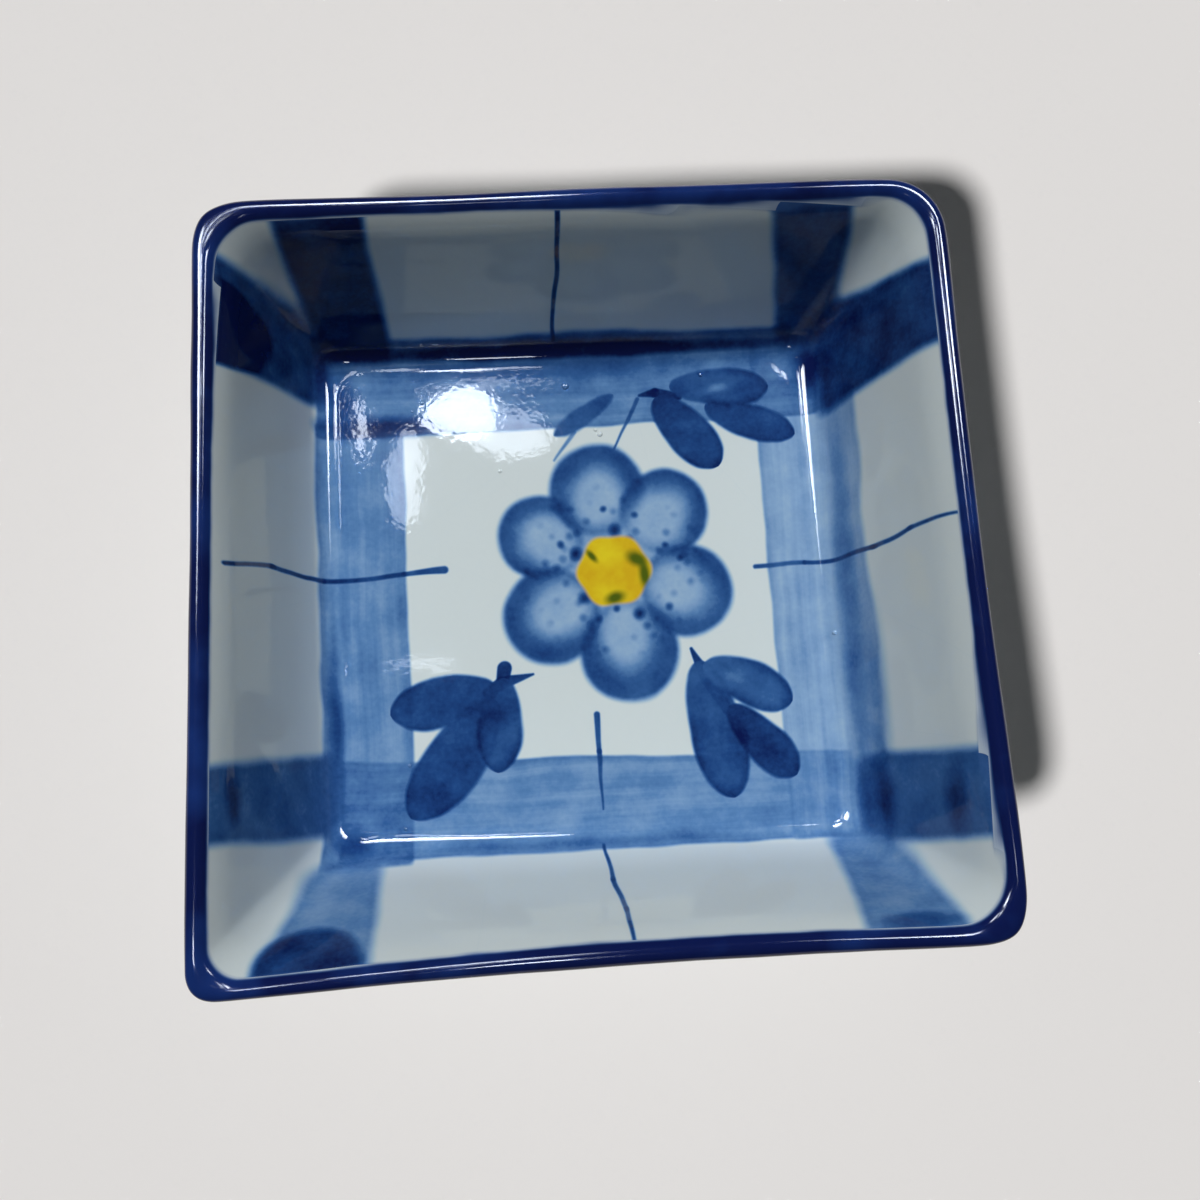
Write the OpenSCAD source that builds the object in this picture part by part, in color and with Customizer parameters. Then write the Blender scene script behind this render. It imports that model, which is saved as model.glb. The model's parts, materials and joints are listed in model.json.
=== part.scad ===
// Square hand-painted bowl: a pressed stoneware slab on a luted foot ring, coated with white glaze,
// a cobalt band over the lip and brushed decoration. Millimetres, +Z up, the table is z = 0.

/* [Overall] */
// Width of the square rim, outside edge to outside edge
rim_w = 130; // [115:1:145]
// Height of the rim above the table
bowl_h = 40; // [32:1:60]
// Width of the floor inside, crease to crease
floor_w = 94.4; // [82:0.2:104]
// Corner radius of the rim's outer edge, seen from above
rim_corner_r = 11; // [8:0.5:15]
// Corner radius of the floor's crease, seen from above
floor_corner_r = 5.5; // [4:0.5:8]

/* [Slab] */
// Thickness of the base, with its glaze
base_t = 4.8; // [4:0.1:7]
// Thickness of the wall where it leaves the base, with its glaze
wall_t = 4.2; // [3.4:0.1:6]
// Radius of the fillet between floor and wall
fillet_r = 5; // [3:0.5:7]
// Radius of the heel outside, between wall and base
heel_r = 7; // [5:0.5:9]

/* [Lip] */
// Thickness of the rolled lip
lip_t = 3.4; // [2.6:0.1:4.4]
// Outward lean of the lip, in degrees from upright
lip_lean = 45; // [40:1:60]
// Length of lip that flares out of the wall
lip_flare = 3.5; // [2.6:0.1:5]

/* [Foot ring] */
// Outer width of the square foot ring
foot_w = 80; // [64:1:82]
// Width of the strip of clay that makes the ring
foot_t = 5; // [4:0.5:7]
// Height of the foot ring
foot_h = 3; // [2:0.5:6]
// Outer corner radius of the foot ring
foot_corner_r = 9; // [8:0.5:14]
// Bevel that the sponge leaves along the foot's two lower edges
foot_bevel = 0.8; // [0.4:0.1:1.2]

/* [Glaze] */
// Thickness of each coat of glaze
glaze_t = 0.4; // [0.3:0.05:0.6]
// Width of clay wiped bare on each side of the foot ring
bare_w = 1.2; // [0.8:0.1:2]

/* [Brush work] */
// Thickness of a fired brush stroke
paint_t = 0.15; // [0.1:0.05:0.3]
// Width of the four thin lines at the middles of the sides
line_w = 1.4; // [0.8:0.1:2]
// Corner radius of the white field inside the painted frame
field_corner_r = 1.5; // [1:0.5:4]

/* [Flower] */
// Distance from the flower's middle to the middle of a petal's round end
petal_reach = 16; // [14:0.5:18]
// Width of a petal at its round end
petal_w = 15.6; // [12:0.2:17]
// Width of a petal where it meets the yellow centre
petal_root_w = 8.4; // [6:0.2:10]
// Distance from the flower's middle to the middle of a petal's root
petal_root_reach = 8.6; // [7:0.2:10]
// Width of the yellow centre, across its corners
centre_w = 13; // [10:0.5:15]
// Corner radius of the yellow centre
centre_corner_r = 2; // [1:0.5:3]

/* [Hidden] */

// Colours
clay_colour = "#d8cdb9";
white_colour = "#c9d3d4";
cobalt_colour = "#0a1647";
wash_colour = "#5a80ad";
stroke_colour = "#1b3868";
petal_colour = "#6f93bb";
leaf_colour = "#1b3d75";
yellow_colour = "#c6ad1c";

// Segments of a corner's quarter turn, of the straight run between two corners and across a stroke
corner_n = 6;
run_n = 6;
stroke_n = 4;
side_n = corner_n + run_n;
ring_n = 4 * side_n;
// Facets of a round end of a flat brush mark
mark_fn = 28;
// How far a cutter runs past what it cuts
overrun = glaze_t;

// Corner signs, in the order right back, left back, left front, right front
corner_signs = [[1, 1], [-1, 1], [-1, -1], [1, -1]];
// How far the hand-pressed corners sit off true, as shares of half the width at that height
rim_corner_shares = [[-0.010, 0.007], [0.021, -0.010], [-0.014, -0.007], [0.015, 0.006]];
floor_corner_shares = [[-0.025, 0.027], [-0.032, 0.033], [-0.012, 0.062], [-0.009, 0.008]];
// Outward bow of the right, back, left and front sides, as shares of half the width
rim_bow_shares = [-0.013, 0.002, -0.0015, -0.027];
floor_bow_shares = [-0.007, -0.0025, 0.008, 0.001];
// How far each rim corner dried high or low, as shares of the bowl's height
rim_lift_shares = [-0.003, -0.005, -0.001, 0.006];
// Each rim corner's radius, as a share of the common one
rim_round_shares = [1, 1, 0.8, 1.1];

function mix(a, b, share) = a + (b - a) * share;
function unit(v) = v / norm(v);
function steps(n) = [for (i = [0:n]) i / n];
function inner_steps(n) = [for (i = [1:n - 1]) i / n];

// A profile point is [place, normal] in the upright plane, with the bowl's outside to the left of the
// path: over the floor, up the inside, round the lip, down the outside and in under the base.
function facing(heading) = [-sin(heading), cos(heading)];
function heading_of(v) = atan2(v[1], v[0]);

// Points of the arc that rounds the corner at p between a and b, starting reach before it
function bend(a, p, b, reach, shares) =
    let (from = heading_of(p - a),
         turn = (heading_of(b - p) - from + 540) % 360 - 180,
         start = p - reach * unit(p - a),
         r = reach / tan(abs(turn) / 2))
    [for (s = shares)
        let (middle = from + turn * s / 2, chord = 2 * r * sin(abs(turn) * s / 2))
        [start + chord * [cos(middle), sin(middle)], facing(from + turn * s)]];
function between(a, b, shares) = [for (s = shares) [mix(a[0], b[0], s), b[1]]];
function reach_of(r, lean) = r * tan((90 - lean) / 2);

// The profile's corners
floor_z = foot_h + base_t;
lip_mid = [(rim_w - lip_t) / 2, bowl_h - lip_t / 2];
lip_way = [sin(lip_lean), cos(lip_lean)];
lip_face = [-cos(lip_lean), sin(lip_lean)];
lip_in = lip_mid + lip_t / 2 * lip_face;
lip_out = lip_mid - lip_t / 2 * lip_face;
bend_in = lip_in - lip_flare * lip_way;
bend_out = lip_out - lip_flare * lip_way;
crease = [floor_w / 2, floor_z];
lean_in = atan2(bend_in[0] - crease[0], bend_in[1] - crease[1]);
heel = [crease[0] + wall_t / cos(lean_in) - base_t * tan(lean_in), foot_h];
lean_out = atan2(bend_out[0] - heel[0], bend_out[1] - heel[1]);

// The cobalt band starts and ends part of the way along the lip's inner and outer bends
fillet = bend([0, floor_z], crease, bend_in, reach_of(fillet_r, lean_in), steps(4));
flare_in = bend(crease, bend_in, lip_in, lip_flare, [0, 0.3, 0.6, 0.87, 1]);
roll = [for (s = inner_steps(6))
    let (way = facing(90 - lip_lean - 180 * s)) [lip_mid + lip_t / 2 * way, way]];
flare_out = bend(lip_out, bend_out, heel, lip_flare, [0, 0.3, 0.6, 1]);
heel_bend = bend(bend_out, heel, [0, foot_h], reach_of(heel_r, lean_out), steps(4));
base_edge = [[foot_w / 2 + bare_w, foot_h], facing(180)];
foot_mid = foot_w / 2 - foot_corner_r;

inside = stations(concat(fillet, between(fillet[4], flare_in[0], inner_steps(3)),
                         [for (i = [0:3]) flare_in[i]]));
lip = stations(concat([flare_in[3], flare_in[4]], roll, [for (i = [0:2]) flare_out[i]]));
outside = concat(stations(concat([flare_out[2]], [flare_out[3]],
                                 between(flare_out[3], heel_bend[0], inner_steps(3)), heel_bend)),
                 stations([base_edge], foot_mid));

// A station is [place, normal, share of the height, half width that the distortion goes by, true_mid].
// Where true_mid is given, the row is undistorted and its corners' centres are that far out: the glaze is
// wiped back from the foot ring by the same width all round.
function stations(profile, true_mid = undef) =
    [for (p = profile)
        let (height_share = (p[0][1] - floor_z) / (bowl_h - floor_z))
        [p[0], p[1], max(0, min(1, height_share)), max(p[0][0], floor_w / 2), true_mid]];
function floor_station(u) = stations([[[u, floor_z], facing(0)]])[0];

// Distance of a corner's centre from the middle, at a station
function corner_mid(st, q) =
    st[4] != undef ? st[4] :
    min(mix(floor_w / 2 - floor_corner_r, rim_w / 2 - rim_corner_r * rim_round_shares[q], st[2]),
        st[0][0] - floor_corner_r);

// Moves a point of the true square bowl to where the hand-pressed one has it
function settle(p, st) =
    st[4] != undef ? p :
    let (x = p[0] / st[3], y = p[1] / st[3],
         near_corner = [(1 + x) * (1 + y), (1 - x) * (1 + y), (1 - x) * (1 - y), (1 + x) * (1 - y)] / 4,
         push = near_corner * mix(floor_w / 2 * floor_corner_shares, rim_w / 2 * rim_corner_shares, st[2]),
         bow = mix(floor_w / 2 * floor_bow_shares, rim_w / 2 * rim_bow_shares, st[2]),
         lift = bowl_h * st[2] * near_corner * rim_lift_shares)
    [p[0] + push[0] + (bow[0] * (1 + x) - bow[2] * (1 - x)) / 2 * (1 - y * y),
     p[1] + push[1] + (bow[1] * (1 + y) - bow[3] * (1 - y)) / 2 * (1 - x * x),
     p[2] + lift];

// A closed rounded-square row of points, from its four corner centres and radii
function rounded(centres, radii, z) =
    [for (q = [0:3])
        let (next = (q + 1) % 4, end = 90 * (q + 1),
             last = centres[q] + radii[q] * [cos(end), sin(end)],
             first = centres[next] + radii[next] * [cos(end), sin(end)])
        each concat(
            [for (i = [0:corner_n])
                let (t = 90 * (q + i / corner_n), p = centres[q] + radii[q] * [cos(t), sin(t)])
                [p[0], p[1], z]],
            [for (s = inner_steps(run_n)) let (p = mix(last, first, s)) [p[0], p[1], z]])];

// The row of points at a station, off the finished surface by d along its normal
function ring(st, d) =
    let (mids = [for (q = [0:3]) corner_mid(st, q)])
    [for (p = rounded([for (q = [0:3]) mids[q] * corner_signs[q]],
                      [for (q = [0:3]) st[0][0] + d * st[1][0] - mids[q]],
                      st[0][1] + d * st[1][1]))
        settle(p, st)];
function rings(list, d) = [for (st = list) ring(st, d)];
function reversed(list) = [for (i = [1:len(list)]) list[len(list) - i]];
function joined(rows) = [for (row = rows) each row];

// A quad as two triangles, split along one diagonal or the other
function quad(a, b, c, d, other) = other ? [[a, b, d], [b, c, d]] : [[a, b, c], [a, c, d]];

// The middle of a flat row of points
function middle(row) = [for (axis = [0:2]) [for (p = row) p[axis]] * [for (p = row) 1] / len(row)];

// A solid whose skin follows rows of points, from the first row to the last. Past the row where it turns
// back its quads are split the other way, so that two coats which touch share every triangle. Its ends
// are fans of triangles round their middles.
module lofted(rows, turns_at, ends_closed) {
    n = len(rows);
    last = (n - 1) * ring_n;
    skin = [for (r = [0:ends_closed ? n - 2 : n - 1], j = [0:ring_n - 1])
        let (s = (r + 1) % n, k = (j + 1) % ring_n)
        each quad(r * ring_n + j, r * ring_n + k, s * ring_n + k, s * ring_n + j, r >= turns_at)];
    fans = ends_closed
        ? [for (j = [0:ring_n - 1]) let (k = (j + 1) % ring_n)
            each [[n * ring_n, k, j], [n * ring_n + 1, last + j, last + k]]] : [];
    middles = ends_closed ? [middle(rows[0]), middle(rows[n - 1])] : [];
    polyhedron(points = concat(joined(rows), middles), faces = concat(skin, fans), convexity = 6);
}

// A coat of glaze over a run of stations
module coat(list, over_middle) {
    lofted(concat(rings(list, 0), reversed(rings(list, -glaze_t))), len(list), over_middle);
}

// A patch of paint between two grids of points, each a list of rows
module patch(upper, lower) {
    rows = len(upper);
    columns = len(upper[0]);
    u = function(r, c) r * columns + c;
    l = function(r, c) (rows + r) * columns + c;
    r_end = rows - 1;
    c_end = columns - 1;
    across = [for (r = [0:r_end - 1], c = [0:c_end - 1]) [r, c, r + 1, c + 1]];
    faces = concat(
        [for (q = across) each quad(u(q[0], q[1]), u(q[0], q[3]), u(q[2], q[3]), u(q[2], q[1]), false)],
        [for (q = across) each quad(l(q[0], q[1]), l(q[2], q[1]), l(q[2], q[3]), l(q[0], q[3]), false)],
        [for (r = [1:r_end]) each quad(u(r - 1, 0), u(r, 0), l(r, 0), l(r - 1, 0), false)],
        [for (r = [1:r_end]) each quad(u(r, c_end), u(r - 1, c_end), l(r - 1, c_end), l(r, c_end), false)],
        [for (c = [1:c_end]) each quad(u(0, c), u(0, c - 1), l(0, c - 1), l(0, c), false)],
        [for (c = [1:c_end]) each quad(u(r_end, c - 1), u(r_end, c), l(r_end, c), l(r_end, c - 1), false)]);
    polyhedron(points = concat(joined(upper), joined(lower)), faces = faces, convexity = 4);
}

// Sides go by number: 0 right, 1 back, 2 left, 3 front. A point a along a side, counted anticlockwise
// from its middle, follows the wall round the corner by most_turn degrees at the most.
function side_point(st, side, a, d, most_turn) =
    let (u = st[0][0] + d * st[1][0],
         mid = corner_mid(st, a > 0 ? side : (side + 3) % 4),
         past = max(0, abs(a) - mid),
         turn = min(most_turn, past / (st[0][0] - mid) * 180 / PI),
         out = mid + (u - mid) * cos(turn),
         run = sign(a) * (past > 0 ? mid + (u - mid) * sin(turn) : abs(a)))
    settle([out * cos(90 * side) - run * sin(90 * side),
            out * sin(90 * side) + run * cos(90 * side),
            st[0][1] + d * st[1][1]], st);

// Slab and foot
module stoneware_shell() {
    rows = rings(concat(inside, [for (i = [1:len(lip) - 1]) lip[i]],
                        [for (i = [1:len(outside) - 1]) outside[i]]), -glaze_t);
    color(clay_colour) lofted(rows, len(rows), true);
}

// Section of the foot's strip, measured from the centre of a corner
module foot_section() {
    outer = foot_corner_r;
    inner = foot_corner_r - foot_t;
    top = foot_h + glaze_t;
    polygon([[inner, top], [inner, foot_bevel], [inner + foot_bevel, 0],
             [outer - foot_bevel, 0], [outer, foot_bevel], [outer, top]]);
}

module foot_ring() {
    color(clay_colour)
    for (side = [0:3]) rotate([0, 0, 90 * side]) {
        translate([foot_mid, 0, 0]) rotate([90, 0, 0])
            linear_extrude(2 * foot_mid, center = true) foot_section();
        translate([foot_mid, foot_mid, 0]) rotate_extrude(angle = 90, $fn = 64) foot_section();
    }
}

// Glaze coats
module inner_glaze() { color(white_colour) coat(inside, true); }
module outer_glaze() { color(white_colour) coat(outside, false); }
module rim_glaze() { color(cobalt_colour) coat(lip, false); }

// The square pool of glaze under the base, inside the foot ring
module base_glaze() {
    half = foot_w / 2 - foot_t - bare_w;
    r = foot_corner_r - foot_t - bare_w;
    color(white_colour) translate([0, 0, foot_h]) {
        for (across = [0, 90]) rotate([0, 0, across])
            translate([-half, r - half, 0]) cube([2 * half, 2 * (half - r), glaze_t]);
        for (s = corner_signs) translate((half - r) * s) cylinder(r = r, h = glaze_t, $fn = 48);
    }
}

// Painted frame: four broad strokes round the floor, from the white field to part of the way up the
// fillet, and on the right up the foot of the wall
// The white field's right, back, left and front edges, as shares of half the floor's width
field_edge_shares = [0.733, 0.685, 0.695, 0.629];
// Stations that each stroke covers, for the right, back, left and front sides
band_rows = [6, 3, 3, 3];
function field_row(d) =
    let (edge = floor_w / 2 * field_edge_shares, r = field_corner_r)
    rounded([[edge[0] - r, edge[1] - r], [r - edge[2], edge[1] - r],
             [r - edge[2], r - edge[3]], [edge[0] - r, r - edge[3]]],
            [r, r, r, r], floor_z + d);
// Neighbouring strokes meet at the corner's diagonal with a hairline between them
hairline_share = 0.06;
function band_grid(side, d) =
    let (start = ((side + 3) % 4) * side_n + corner_n / 2,
         rows = concat([field_row(d)], [for (i = [0:band_rows[side] - 1]) ring(inside[i], d)]))
    [for (row = rows)
        let (run = [for (j = [start:start + side_n]) row[j % ring_n]])
        concat([mix(run[0], run[1], hairline_share)], [for (j = [1:side_n - 1]) run[j]],
               [mix(run[side_n], run[side_n - 1], hairline_share)])];

module floor_bands() {
    color(wash_colour) difference() {
        for (side = [0:3]) patch(band_grid(side, paint_t), band_grid(side, 0));
        for (stroke = wall_stroke_shares) if (stroke[0] == 0)
            patch(stroke_grid(stroke, paint_t + overrun, 60), stroke_grid(stroke, -overrun, 60));
        for (line = line_shares) if (line[3] > 0)
            patch(line_grid(line, paint_t + overrun), line_grid(line, -overrun));
        translate([0, 0, floor_z - overrun]) linear_extrude(paint_t + 2 * overrun) spray_outlines();
    }
}

// Wall strokes: a dab on each side of every corner. Each row is a side, the stroke's two edges at the
// crease and its two edges at the lip, along that side, as shares of half the width at that height.
wall_stroke_shares = [
    [0, 0.72, 1.1, 0.59, 0.80], [0, -1.0, -0.69, -0.78, -0.52],
    [1, 0.73, 1.1, 0.58, 0.82], [1, -1.1, -0.85, -0.78, -0.55],
    [2, 0.63, 0.88, 0.44, 0.665], [2, -1.1, -0.81, -0.89, -0.60],
    [3, 0.88, 1.1, 0.635, 0.895], [3, -1.1, -0.80, -0.89, -0.61]];
// The strokes start at the mitre of the painted frame and end under the cobalt band
wall_run = [for (i = [2:len(inside) - 1]) inside[i]];
// They stop this many degrees round the corner, just short of its diagonal
stroke_turn = 43;
function stroke_grid(stroke, d, most_turn) =
    [for (st = wall_run)
        [for (s = steps(stroke_n))
            side_point(st, stroke[0],
                       st[0][0] * mix(mix(stroke[1], stroke[2], s), mix(stroke[3], stroke[4], s), st[2]),
                       d, most_turn)]];
module wall_strokes() {
    color(stroke_colour) for (stroke = wall_stroke_shares)
        patch(stroke_grid(stroke, paint_t, stroke_turn), stroke_grid(stroke, 0, stroke_turn));
}

// Thin lines at the middle of each side. Each row is a side, where the line crosses the floor and the lip
// along that side, as shares of half the width there, where it starts on the floor, as a share of half the
// floor's width, or 0 for a line on the wall alone, and whether it climbs the wall.
line_shares = [
    [0, 0.089, 0.086, 0.69, true], [1, 0.083, 0.040, 0, true], [2, -0.115, -0.056, 0.53, true],
    [3, 0.015, 0.015, 0.47, false], [3, 0.017, 0.040, 0, true]];
// Where the front side's short floor line ends, as a share of half the floor's width
short_line_end_share = 0.84;
function line_stations(line) =
    concat(line[3] > 0 ? [floor_station(line[3] * floor_w / 2)] : [],
           line[4] ? (line[3] > 0 ? inside : wall_run) : [floor_station(short_line_end_share * floor_w / 2)]);
function line_grid(line, d) =
    [for (st = line_stations(line))
        let (a = st[0][0] * (st[2] > 0 ? mix(line[1], line[2], st[2]) : line[1] * floor_w / 2 / st[0][0]))
        [for (edge = [-1, 1]) side_point(st, line[0], a + edge * line_w / 2, d, stroke_turn)]];
module tick_lines() {
    color(stroke_colour) for (line = line_shares) patch(line_grid(line, paint_t), line_grid(line, 0));
}

// Flower: six petals round a yellow centre, each lapped by the next
// The flower's middle, as shares of half the floor's width
flower_shares = [0.114, 0.092];
flower_turn = -20;
petal_count = 6;
module at_flower() { translate(floor_w / 2 * flower_shares) children(); }
module petal_outline(i) {
    rotate(360 / petal_count * i + flower_turn) hull() {
        translate([petal_reach, 0]) circle(d = petal_w, $fn = mark_fn);
        translate([petal_root_reach, 0]) circle(d = petal_root_w, $fn = mark_fn);
    }
}
module centre_outline() {
    at_flower() hull() for (i = [0:5]) rotate(60 * i)
        translate([centre_w / 2 - centre_corner_r, 0]) circle(centre_corner_r, $fn = mark_fn);
}
module petals() {
    color(petal_colour) translate([0, 0, floor_z]) linear_extrude(paint_t)
        for (i = [0:petal_count - 1]) difference() {
            at_flower() petal_outline(i);
            at_flower() petal_outline((i + 1) % petal_count);
            centre_outline();
        }
}
module flower_centre() {
    color(yellow_colour) translate([0, 0, floor_z]) linear_extrude(paint_t) centre_outline();
}

// Leaf sprays: single-stroke leaves, pointed where the brush lands and round where it lifts. Each row is
// a leaf's point, its round end and its width, as shares of half the floor's width.
leaf_shares = [
    [[-0.37, -0.33], [-0.77, -0.42], 0.19], [[-0.36, -0.37], [-0.72, -0.81], 0.21],
    [[-0.34, -0.33], [-0.38, -0.66], 0.19],
    [[0.41, -0.25], [0.52, -0.81], 0.23], [[0.43, -0.26], [0.79, -0.45], 0.21],
    [[0.50, -0.40], [0.79, -0.77], 0.17],
    [[0.30, 0.83], [0.55, 0.51], 0.21], [[0.31, 0.83], [0.77, 0.83], 0.17],
    [[0.42, 0.78], [0.87, 0.63], 0.15],
    [[0.13, 0.81], [-0.10, 0.63], 0.17]];
// Stems: two ends and the width at the first, as shares of half the floor's width
stem_shares = [
    [[-0.39, -0.39], [-0.22, -0.30], 0.06], [[-0.34, -0.27], [-0.35, -0.35], 0.07],
    [[0.25, 0.80], [0.15, 0.59], 0.035], [[0.04, 0.64], [-0.09, 0.54], 0.03]];
leaf_point_share = 0.12;
leaf_belly_share = 0.62;
leaf_tip_share = 0.66;
stem_end_share = 0.4;

module leaf_outline(leaf) {
    point = floor_w / 2 * leaf[0];
    end = floor_w / 2 * leaf[1];
    w = floor_w / 2 * leaf[2];
    way = unit(end - point);
    hull() {
        translate(point) circle(d = w * leaf_point_share, $fn = mark_fn);
        translate(mix(point, end, leaf_belly_share)) circle(d = w, $fn = mark_fn);
        translate(end - way * w * leaf_tip_share / 2) circle(d = w * leaf_tip_share, $fn = mark_fn);
    }
}
module stem_outline(stem) {
    w = floor_w / 2 * stem[2];
    hull() {
        translate(floor_w / 2 * stem[0]) circle(d = w, $fn = mark_fn);
        translate(floor_w / 2 * stem[1]) circle(d = w * stem_end_share, $fn = mark_fn);
    }
}
module spray_outlines() {
    difference() {
        union() {
            for (leaf = leaf_shares) leaf_outline(leaf);
            for (stem = stem_shares) stem_outline(stem);
        }
        for (i = [0:petal_count - 1]) at_flower() petal_outline(i);
    }
}
module leaf_sprays() { color(leaf_colour) translate([0, 0, floor_z]) linear_extrude(paint_t) spray_outlines(); }

stoneware_shell();
foot_ring();
inner_glaze();
outer_glaze();
base_glaze();
rim_glaze();
floor_bands();
wall_strokes();
tick_lines();
petals();
flower_centre();
leaf_sprays();
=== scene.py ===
"""A square hand-painted bowl: the looks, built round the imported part. Metres, +Z up, the table is z = 0."""

import json
import math

import bpy
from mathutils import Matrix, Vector
from mathutils.kdtree import KDTree

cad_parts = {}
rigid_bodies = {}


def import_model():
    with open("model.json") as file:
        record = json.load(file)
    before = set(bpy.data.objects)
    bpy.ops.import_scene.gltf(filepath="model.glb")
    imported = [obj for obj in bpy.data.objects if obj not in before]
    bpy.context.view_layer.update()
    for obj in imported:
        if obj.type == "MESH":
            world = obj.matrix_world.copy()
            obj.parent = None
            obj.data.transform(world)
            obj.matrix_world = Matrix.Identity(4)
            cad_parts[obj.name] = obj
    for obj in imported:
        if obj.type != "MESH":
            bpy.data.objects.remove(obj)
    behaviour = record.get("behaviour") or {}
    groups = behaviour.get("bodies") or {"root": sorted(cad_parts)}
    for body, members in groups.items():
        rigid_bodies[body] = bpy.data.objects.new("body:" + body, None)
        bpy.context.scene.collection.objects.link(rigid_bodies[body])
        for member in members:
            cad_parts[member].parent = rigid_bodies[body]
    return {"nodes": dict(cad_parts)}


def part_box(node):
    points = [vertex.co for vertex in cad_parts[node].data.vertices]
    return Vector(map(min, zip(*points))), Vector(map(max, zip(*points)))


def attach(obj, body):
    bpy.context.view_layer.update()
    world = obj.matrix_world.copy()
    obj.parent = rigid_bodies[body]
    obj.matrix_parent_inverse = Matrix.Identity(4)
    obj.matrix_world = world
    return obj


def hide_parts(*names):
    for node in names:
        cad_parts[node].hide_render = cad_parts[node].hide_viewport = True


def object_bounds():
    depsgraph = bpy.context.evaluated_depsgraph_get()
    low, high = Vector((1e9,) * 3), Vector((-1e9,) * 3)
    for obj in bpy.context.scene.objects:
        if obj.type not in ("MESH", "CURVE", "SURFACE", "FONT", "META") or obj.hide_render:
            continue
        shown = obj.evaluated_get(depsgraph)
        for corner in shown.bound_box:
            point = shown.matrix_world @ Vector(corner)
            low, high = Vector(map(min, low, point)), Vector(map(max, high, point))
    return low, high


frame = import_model()
cad_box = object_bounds()
nodes = frame["nodes"]
MM = 0.001

# Camera
# The photograph is taken from almost straight above, a forearm's length away, leaning a little to the
# left and towards the front.
camera = bpy.data.objects.new("camera", bpy.data.cameras.new("camera"))
bpy.context.scene.collection.objects.link(camera)
bpy.context.scene.camera = camera
camera.data.lens = 37.5
camera.data.sensor_width = 36
camera.data.clip_start = 10 * MM
camera.location = Vector((-12.05, -39.25, 237.02)) * MM
camera.rotation_euler = (0.168214, -0.053371, -0.058674)


# The skin of glaze
# The real bowl is dipped whole, so its white and cobalt coats run into each other as one smooth skin. It
# starts from the outer faces of the three coats, which are joined, smoothed and pushed a little out of
# true, as fingers leave a pressed slab, and are then parted again into coats with their real thickness.
COATS = ("inner_glaze", "rim_glaze", "outer_glaze")
INSIDE, LIP = COATS.index("inner_glaze"), COATS.index("rim_glaze")
COAT_THICKNESS = 0.4 * MM
SAME_POINT = 0.01 * MM
# The flat floor: two rings inside its bend, the reach of its fan of triangles, the cells of its grid
FLOOR_INSETS = (1.2 * MM, 1.2 * MM)
FLOOR_REACH = 20 * MM
FLOOR_SPAN = 12
# Two triangles become one face up to this bend and this skew, edges past the next angle stay sharp, and
# every face is split in four this many times
QUAD_BEND, QUAD_SKEW = math.radians(50), math.radians(60)
SHARP_FROM = math.radians(40)
SMOOTHING = 2
# Width and depth of what fingers leave and of the glaze's runs. The floor takes only a share of them, and
# they fade out down to the foot, which stays true.
FINGER_MARKS = (24 * MM, 0.40 * MM)
GLAZE_RUNS = (9 * MM, 0.06 * MM)
FLOOR_SHARE = 0.22
FOOT_TOP, BODY_FROM = 4 * MM, 14 * MM
# How far each corner of the lip is pinched out, as a share of the way to the sharp corner of its box, and
# where that sets in: how far out from the middle, how far up, and how much the face looks outwards
PINCH = {(-1, 1): 0.30, (1, 1): 0.08, (-1, -1): 0.45, (1, -1): 0.38}
PINCH_FROM, PINCH_FULL = 46 * MM, 60 * MM
PINCH_LOW, PINCH_HIGH = 20 * MM, 36 * MM
PINCH_FACING = (-0.5, 0.5)


def only(*chosen):
    """Leaves just these objects selected, with the first one active."""
    bpy.ops.object.select_all(action="DESELECT")
    for one in chosen:
        one.select_set(True)
    bpy.context.view_layer.objects.active = chosen[0]


def copy_of(node, name):
    """A merged copy of a node's mesh, as a new object."""
    copied = bpy.data.objects.new(name, nodes[node].data.copy())
    bpy.context.scene.collection.objects.link(copied)
    copied.data.materials.clear()
    only(copied)
    bpy.ops.object.mode_set(mode="EDIT")
    bpy.ops.mesh.select_all(action="SELECT")
    bpy.ops.mesh.remove_doubles(threshold=SAME_POINT)
    bpy.ops.object.mode_set(mode="OBJECT")
    return copied


def edit_points(piece, chosen):
    """Opens a piece for editing with just the points selected for which chosen(position) is true."""
    only(piece)
    bpy.ops.object.mode_set(mode="EDIT")
    bpy.ops.mesh.select_mode(type="VERT")
    bpy.ops.mesh.select_all(action="DESELECT")
    bpy.ops.object.mode_set(mode="OBJECT")
    for point in piece.data.vertices:
        point.select = chosen(point.co)
    bpy.ops.object.mode_set(mode="EDIT")


def part_way(value, start, full):
    """How far a value has come from start to full, from 0 to 1."""
    return min(1, max(0, (value - start) / (full - start)))


def apply_modifiers(piece):
    """Applies all of a piece's modifiers, in their order."""
    only(piece)
    for modifier in list(piece.modifiers):
        bpy.ops.object.modifier_apply(modifier=modifier.name)


painted_glaze = bpy.data.materials.new("white glaze over cobalt brushwork")
lip_glaze = bpy.data.materials.new("cobalt glaze")
plain_glaze = bpy.data.materials.new("white glaze")

coats = [copy_of(node, node + "_skin") for node in COATS]
for coat, material in zip(coats, (painted_glaze, lip_glaze, plain_glaze)):
    coat.data.materials.append(material)
skin = coats[0]
only(*coats)
bpy.ops.object.join()

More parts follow.
